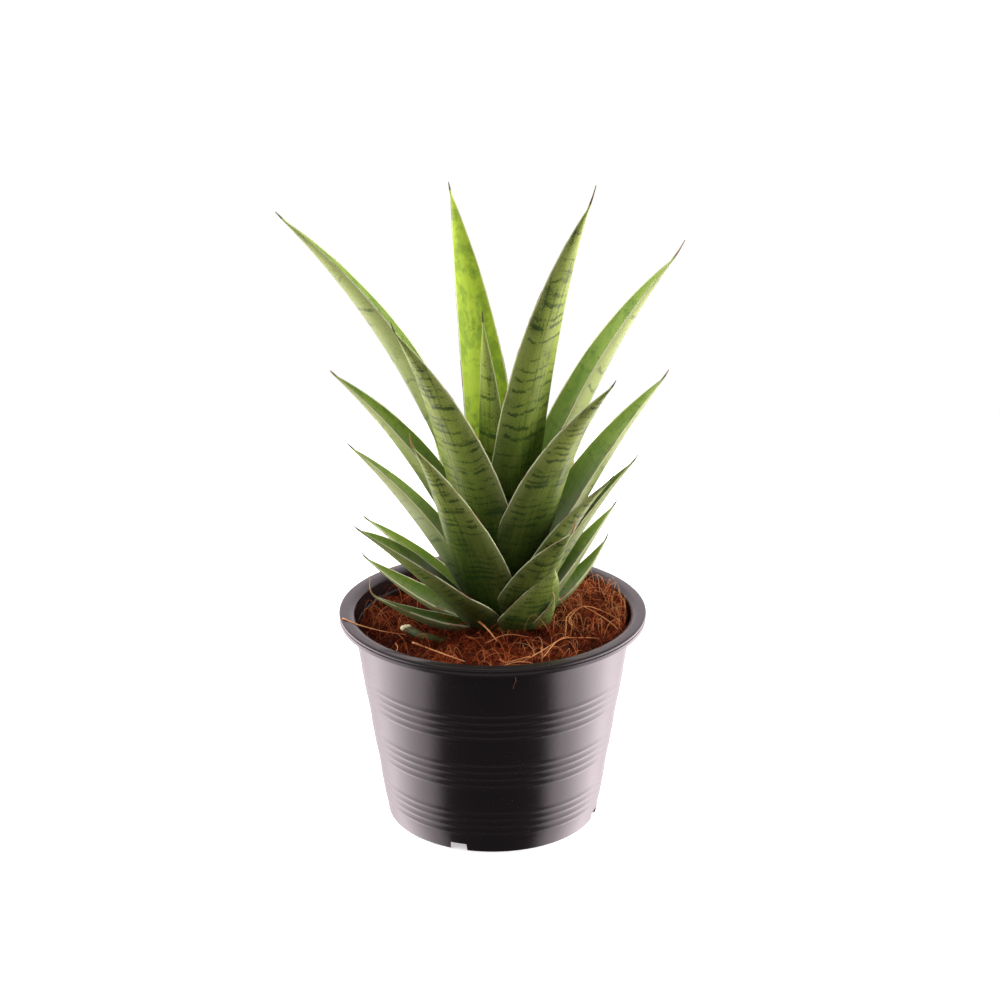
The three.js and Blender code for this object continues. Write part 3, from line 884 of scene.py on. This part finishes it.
def leaf_flesh(flow):
    """Green flesh, in millimetres: paler to the tips and darker low down (own colour and painted shade), with
    dark marks, horny margins, flank strips of bloom and painted sheen, a painted inner glow on weakly marked
    leaves, and a dry point.
    """
    flat = flow.attribute("flat", "Vector")
    edge = flow.attribute("edge")
    inside = flow.attribute("inside")
    awl = flow.attribute("awl")
    share = flow.attribute("share")
    pitch, strength, tan = flow.attribute("marks", "Vector").parts()
    across, along, seed = flat.parts()
    outer = 1.0 - inside.step(-0.25, 0.15)

    # Dark pigment lies in dots. They run together along crossbands, which wander, fray and break off, and
    # along a few streaks in the middle of the leaf.
    wave = flow.noise(flat * (0.09, 0.03, 1.0), 1.0, 2.0) - 0.5
    jag = flow.noise(flat * (0.75, 0.30, 1.0) + (0.0, 0.0, 5.0), 1.0, 3.0, 0.65) - 0.5
    walk = along / pitch + wave * 1.8 + jag * 0.5 + seed * 13.7
    spacing = {"W": walk, "Scale": 1.0, "Randomness": 0.85}
    band = flow.node("ShaderNodeTexVoronoi", {"voronoi_dimensions": "1D"}, spacing)
    luck = flow.node("ShaderNodeSeparateColor", None, {0: band.other("Color")}, 0)
    core = 1.0 - (band * pitch / (luck * 0.60 + 0.32)).step(0.2, 1.6)
    unbroken = flow.noise(flat * (0.20, 0.12, 1.0) + (0.0, 0.0, 7.0), 1.0, 3.0).step(0.34, 0.58)
    cluster = flow.noise(flat * (0.09, 0.07, 1.0) + (0.0, 0.0, 3.0), 1.0, 2.0).step(0.45, 0.75)
    middle_run = 1.0 - across.math("ABSOLUTE").step(2.0, 9.0)
    streaks = flow.noise(flat * (0.9, 0.04, 1.0) + (0.0, 0.0, 9.0), 1.0, 2.0).step(0.50, 0.64) * middle_run
    bands = core * unbroken * (luck * 0.7 + 0.4) * edge.step(0.8, 3.0)
    dots = flow.noise(flat * (2.0, 1.4, 1.0) + (0.0, 0.0, 11.0), 1.0, 3.0, 0.7) * 1.45 - 0.21
    bands = bands * (strength * 0.5 + 0.5)
    density = 0.24 + bands * 0.44 + strength * (cluster * 0.20 + streaks * 0.16 + 0.12)
    dark = (density - dots).step(-0.12, 0.17) * (outer * 0.5 + 0.5)
    halo = (bands * 0.5 + (cluster + streaks) * 0.3 * strength) * (outer * 0.5 + 0.5)

    clouds = flow.noise(flat * (0.12, 0.05, 1.0), 1.0, 3.0)
    grain = flow.noise(flat * (0.9, 0.05, 1.0), 1.0, 2.0)
    # Paler to the tips and high up, darker at the base and on the low leaves: partly the leaves' own colour,
    # partly painted shade.
    height = flow.place().parts()[2].step(0.08, 0.20)
    lighter_high_shaded_low = (share + clouds * 0.3 - 0.15).step(0.0, 0.85) * (height * 0.65 + 0.35)
    outside_green = lighter_high_shaded_low.blend(colour(52, 70, 20), colour(180, 194, 88))
    inside_green = lighter_high_shaded_low.blend(colour(54, 80, 20), colour(142, 165, 74))
    # Weakly marked leaves get a brighter lime inside: a painted glow of light shining through the thin blade.
    inside_green = (1.0 - strength).step(0.45, 0.65).blend(inside_green, colour(178, 200, 62))
    mottle = flow.noise(flat * (0.22, 0.13, 1.0) + (0.0, 0.0, 31.0), 1.0, 4.0, 0.65).step(0.44, 0.64)
    inside_green = (mottle * 0.5).blend(inside_green, colour(80, 120, 38))
    green = outer.blend(inside_green, outside_green)
    green = (outer * (1.0 - strength).step(0.25, 0.45) * 0.35).blend(green, colour(168, 178, 138))
    green = (grain.step(0.35, 0.7) * 0.14).blend(green, colour(158, 172, 92))
    before_tip = 1.0 - share.step(0.78, 0.96) * 0.85
    # A pale strip on the outer flanks near the margins, stronger high up: partly paler waxy skin, partly
    # painted sheen.
    flank_bloom_and_sheen = (1.0 - edge.step(0.6, 5.0)) * outer * (height * 0.2 + 0.2) * before_tip
    green = flank_bloom_and_sheen.blend(green, colour(186, 190, 128))
    green = halo.blend(green, colour(72, 98, 40))
    inked = (dark * (strength * 0.45 + 0.27)).blend(green, colour(36, 66, 28))
    red_run = flow.noise(flat * (0.0, 0.09, 1.0) + (0.0, 0.0, 21.0), 1.0, 2.0).step(0.54, 0.60)
    horn_width = flow.noise(flat * (0.0, 0.06, 1.0) + (0.0, 0.0, 17.0), 1.0, 2.0) * 0.65 + height * 0.2 + 0.06
    horn = (1.0 - (edge / horn_width).step(0.6, 1.1)) * before_tip
    trimmed = horn.blend(inked, colour(226, 224, 186))
    trimmed = ((1.0 - edge.step(0.10, 0.25)) * red_run * before_tip).blend(trimmed, colour(146, 94, 62))
    dry = tan.blend(colour(98, 86, 50), colour(182, 138, 90))
    point_share = (awl.step(0.0, 0.15)).math("MAXIMUM", tan * share.step(0.9, 0.97) * 0.6)
    return {
        "Base Color": point_share.blend(trimmed, dry),
        "Roughness": clouds * 0.14 + 0.39,
    }


leaf_finish = finish_named(
    "leaf_flesh",
    leaf_flesh,
    Specular_IOR_Level=0.22,
    Sheen_Weight=0.05,
    Sheen_Roughness=0.35,
    Sheen_Tint=(0.98, 1.0, 0.74, 1.0),
)
leaf_growth = growth("leaf_blade", LEAF_INPUTS, leaf_blade)


def withered(flow):
    """The old cut leaf: dull dark green, wrinkled lengthwise, and pale where it was cut."""
    flat = flow.attribute("flat", "Vector")
    share = flow.attribute("share")
    wrinkles = flow.noise(flat * (1.2, 0.10, 1.0), 1.0, 3.0)
    blotches = flow.noise(flat * (0.3, 0.3, 1.0), 1.0, 3.0)
    dull = blotches.step(0.35, 0.65).blend(colour(38, 50, 22), colour(78, 92, 44))
    dull = (wrinkles.step(0.55, 0.7) * 0.5).blend(dull, colour(104, 88, 52))
    base = (share + wrinkles * 0.06).step(0.95, 1.0).blend(dull, colour(226, 216, 176))
    return {"Base Color": base, "Roughness": blotches * 0.2 + 0.45, "Normal": flow.bump(wrinkles, 0.0005)}


withered_finish = finish_named("withered_leaf", withered)

# Where each leaf stands and what it is like: its azimuth, the height of its root, lean, bend, length, width,
# fullness, half the angle of its channel, the length and hook of its awl point, and roll. Then how far apart
# its bands are, how strong its marks, and how dry and tan its tip. A fullness of 0 is the cut leaf's.
# Weak marks also bring a painted glow of light to the inside of the leaf.
LEAVES = {
    "leaf_01": (-115, 110, 7, 0, 116, 18, 2.4, 50, 5, 0, 0, 5.2, 0.8, 0.0),
    "leaf_02": (113.5, 109, 8, 21.5, 163, 27, 2.6, 45, 4, 0, 0, 8.0, 0.3, 0.0),
    "leaf_03": (-54, 108, 2, 29, 181, 29, 2.6, 40, 9, 0.1, 0, 5.6, 1.0, 0.1),
    "leaf_04": (180.5, 106, 12.3, 31.7, 178, 44, 3, 60, 4, 0, 6, 8.0, 0.6, 0.1),
    "leaf_05": (5, 105, 12, 25, 158, 42, 3, 56, 8.5, 0.1, 0, 8.0, 0.6, 0.5),
    "leaf_06": (-127, 98, 11, 28, 147, 37, 2, 45, 5, 0.2, 0, 3.6, 0.95, 0.0),
    "leaf_07": (-50, 99, 12, 31.5, 122, 38, 2, 45, 4, 0.1, 0, 3.9, 0.95, 0.0),
    "leaf_08": (178, 100, 20, 26, 114, 38, 2.4, 55, 2.5, 0, 0, 6.0, 0.6, 0.4),
    "leaf_09": (10, 97, 25, 13, 112, 38, 2.4, 48, 4, 0.1, 0, 6.0, 0.6, 0.4),
    "leaf_10": (180, 92, 28, 16, 90, 42, 2.4, 45, 3, 0, 8, 5.5, 0.5, 0.0),
    "leaf_11": (-125, 88, 18, 21, 110, 38, 1.6, 45, 7, 0.3, 0, 3.3, 0.95, 0.7),
    "leaf_12": (-34, 90, 18, 23, 81, 30, 2.2, 45, 3, 0.1, 0, 3.0, 0.95, 0.0),
    "leaf_13": (2, 92, 27, 12, 80, 27, 2.2, 50, 4, 0.1, 0, 4.5, 0.6, 0.4),
    "leaf_14": (-144, 85, 41.5, 7.5, 84, 42, 2, 45, 3.5, 0.1, -14, 3.6, 0.8, 0.0),
    "leaf_15": (164, 86, 43, 15, 64, 19, 2.2, 50, 3, 0.1, 0, 4.0, 0.5, 0.2),
    "leaf_16": (14, 87, 39, -6, 60, 22, 2.2, 50, 3, 0, 0, 4.0, 0.5, 0.1),
    "leaf_17": (-52, 86, 18, 26, 67, 36, 2, 45, 8, 0.4, 0, 2.8, 1.0, 1.0),
    "leaf_18": (168, 83, 71, -23, 56, 19, 2.2, 50, 3.5, 0.2, 0, 4.0, 0.5, 0.2),
    "leaf_19": (20, 86, 66, -42, 48, 17, 2.2, 50, 3, 0, 0, 4.0, 0.5, 0.0),
    "leaf_20": (-155, 83, 74, -28, 57, 18, 2.2, 50, 7, 0.7, 0, 4.0, 0.6, 1.0),
    "leaf_21": (-46, 82, 30, -20, 44, 42, 2, 45, 6, 0.2, 0, 2.6, 1.0, 0.7),
    "leaf_22": (-42, 83, 56, -54, 27, 16, 2, 45, 3, 0.5, 0, 2.6, 0.7, 0.9),
    "leaf_23": (72, 109, 22, 14, 108, 26, 2.2, 45, 4, 0.1, 0, 5.5, 0.8, 0.3),
    "leaf_24": (128, 101, 28, 14, 84, 24, 2.2, 45, 4, 0.1, 0, 5.0, 0.8, 0.3),
    "leaf_25": (55, 98, 40, 8, 62, 22, 2.2, 45, 4, 0.1, 0, 4.0, 0.8, 0.6),
    "leaf_26": (100, 91, 48, 8, 66.5, 20, 2.2, 45, 4, 0.1, 0, 4.0, 0.8, 0.6),
    "cut_leaf": (-130, 82.6, 85, 0, 38, 5, 0, 30, 0, 0, 0, 4.0, 0.6, 0.0),
}
CUT_SWAY = -112  # how far the cut leaf curls round


def leaf_sizes(name, row):
    """The tree's inputs for one leaf: lengths in millimetres, angles in radians."""
    az, root, lean, bend, long, wide, full, fold, cusp, hook, roll, pitch, strength, tan = row
    whole = full > 0
    sway = 0 if whole else CUT_SWAY
    hug = stem_radius(root) + LEAF_THICKNESS / 2
    angle = math.radians(az)
    foot = (AXIS.x + STEM_X + hug * math.cos(angle), AXIS.y + STEM_Y + hug * math.sin(angle), root)
    turn = math.radians(math.hypot(bend, sway * math.sin(math.radians(lean))))
    return {
        "Root": foot,
        "Azimuth": angle,
        "Sway": math.radians(sway),
        "Lean": math.radians(lean),
        "Bend": math.radians(bend),
        "Turn": max(turn, 0.001),
        "Length": float(long),
        "Width": float(wide),
        "Fullness": float(full) if whole else 1.0,
        "Taper": 1.0 if whole else 0.0,
        "Fold": math.radians(fold),
        "Roll": math.radians(roll),
        "Thickness": LEAF_THICKNESS,
        "Cusp": float(cusp),
        "Hook": float(hook),
        "Cusp Radius": AWL_RADIUS,
        "Clasp": CLASP,
        "Root Width": ROOT_WIDTH,
        "Tuck": TUCK,
        "Blade Share": BLADE_SHARE if whole else 1.0,
        "Waviness": WAVINESS,
        "Seed": float(sorted(LEAVES).index(name)) * SEED_PITCH,
        "Marks": (pitch, strength, tan),
    }


for name, row in LEAVES.items():
    is_cut = name == "cut_leaf"
    leaf = mesh_object("cut_stub" if is_cut else name.replace("leaf_", "blade_"), [], [])
    grow(leaf, leaf_growth, leaf_sizes(name, row))
    if is_cut:
        leaf.data.materials.clear()
        leaf.data.materials.append(withered_finish)
    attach(leaf, "root")
    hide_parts(name)

# The floor, the light and the camera
# A plain white table that runs on into a white room, soft light boxes at both sides, behind and overhead, and
# a camera that looks down a little on the pot from in front.

FLOOR_REACH = 560
floor_corners = [(x * FLOOR_REACH, y * FLOOR_REACH, 0) for x, y in ((-1, -1), (1, -1), (1, 1), (-1, 1))]
floor = mesh_object("floor", floor_corners, [(0, 1, 2, 3)])


def white_table(flow):
    at = flow.place()
    return {"Base Color": (flow.noise(at, 3.0) * 0.2).blend(colour(250, 250, 250), colour(244, 244, 245))}


table_finish = finish_named(
    "white_table",
    white_table,
    Roughness=0.7,
    Specular_IOR_Level=0.2,
    Emission_Color=(1.0, 1.0, 1.0, 1.0),
    Emission_Strength=0.45,
)
floor.data.materials.append(table_finish)
floor.visible_glossy = False
floor.visible_diffuse = False
floor.visible_shadow = False

# The room is white to the eye, and gives the soft light. Glossy pieces mirror a room with darker parts, which
# is what draws the bright flanks and the dark middle of the pot.
WHITE = 1.02
WHITE_TINT = (1.0, 1.0, 1.0, 1.0)
MIRRORED_TINT = (1.0, 0.87, 0.92, 1.0)
world = bpy.data.worlds.new("studio")
world.use_nodes = True
bpy.context.scene.world = world
bpy.context.scene.view_settings.view_transform = "Standard"
sky = Flow(world.node_tree)
x, y, z = sky.node("ShaderNodeTexCoord", out="Generated").parts()
flat_length = (x * x + y * y + 0.0001).math("SQRT")
backward = y / flat_length
below = 1.0 - z.step(-0.12, 0.0)
table_glow = backward.step(-0.64, -0.28) * 2.7 + backward.step(-0.30, 0.30) * 1.8
table_glow = table_glow - backward.step(0.5, 1.0) * 3.3
table_glow = table_glow * (x.step(-0.3, 0.3) * 0.2 + 1.0) * flat_length.step(0.35, 0.75)
table_glow = table_glow + z.step(-0.50, -0.30) * 0.6 + 0.10
room_glow = backward.step(-0.60, -0.10) * 0.35 + backward.step(0.2, 0.9) * 0.7 + 0.25
mirrored = below.blend(room_glow, table_glow)
spread = below.blend(y.step(-0.60, -0.10) * 0.40 + 0.43, backward.step(-0.25, 0.05) * 1.0 + 0.22)
rays = sky.node("ShaderNodeLightPath", out="Is Glossy Ray")
strength = rays.blend(spread, mirrored)
strength = rays.other("Is Camera Ray").blend(strength, WHITE)
tint = rays.blend(WHITE_TINT, MIRRORED_TINT)
shown = world.node_tree.nodes["Background"]
world.node_tree.links.new(tint.socket, shown.inputs["Color"])
world.node_tree.links.new(strength.socket, shown.inputs["Strength"])

LIGHT_TARGET = Vector((0, 0, 120))
# Where each box is, its width and height in millimetres, and its power in watts.
LIGHTS = {
    "left_box": ((-720, 170, 420), (900, 700), 9.5),
    "right_box": ((720, 170, 420), (900, 700), 11.5),
    "back_box": ((0, 1100, 450), (1500, 900), 7.0),
    "top_box": ((0, 100, 1300), (700, 700), 4.0),
}
for name, (at, (wide, high), power) in LIGHTS.items():
    data = bpy.data.lights.new(name, "AREA")
    data.shape = "RECTANGLE"
    data.size = wide * MM
    data.size_y = high * MM
    data.energy = power
    lamp = bpy.data.objects.new(name, data)
    lamp.location = Vector(at) * MM
    lamp.rotation_euler = (LIGHT_TARGET - Vector(at)).to_track_quat("-Z", "Y").to_euler()
    lamp.visible_glossy = False
    bpy.context.collection.objects.link(lamp)

CAMERA_DISTANCE = 850
CAMERA_RISE = math.radians(19.54)
CAMERA_TARGET = Vector((AXIS.x + 3.1, 0, 139.9))
SENSOR = 36
LENS = 73.6
camera_data = bpy.data.cameras.new("camera")
camera_data.sensor_width = SENSOR
camera_data.lens = LENS
camera = bpy.data.objects.new("camera", camera_data)
back_off = Vector((0, -math.cos(CAMERA_RISE), math.sin(CAMERA_RISE))) * CAMERA_DISTANCE
camera.location = (CAMERA_TARGET + back_off) * MM
camera.rotation_euler = (-back_off).to_track_quat("-Z", "Y").to_euler()
bpy.context.collection.objects.link(camera)
bpy.context.scene.camera = camera
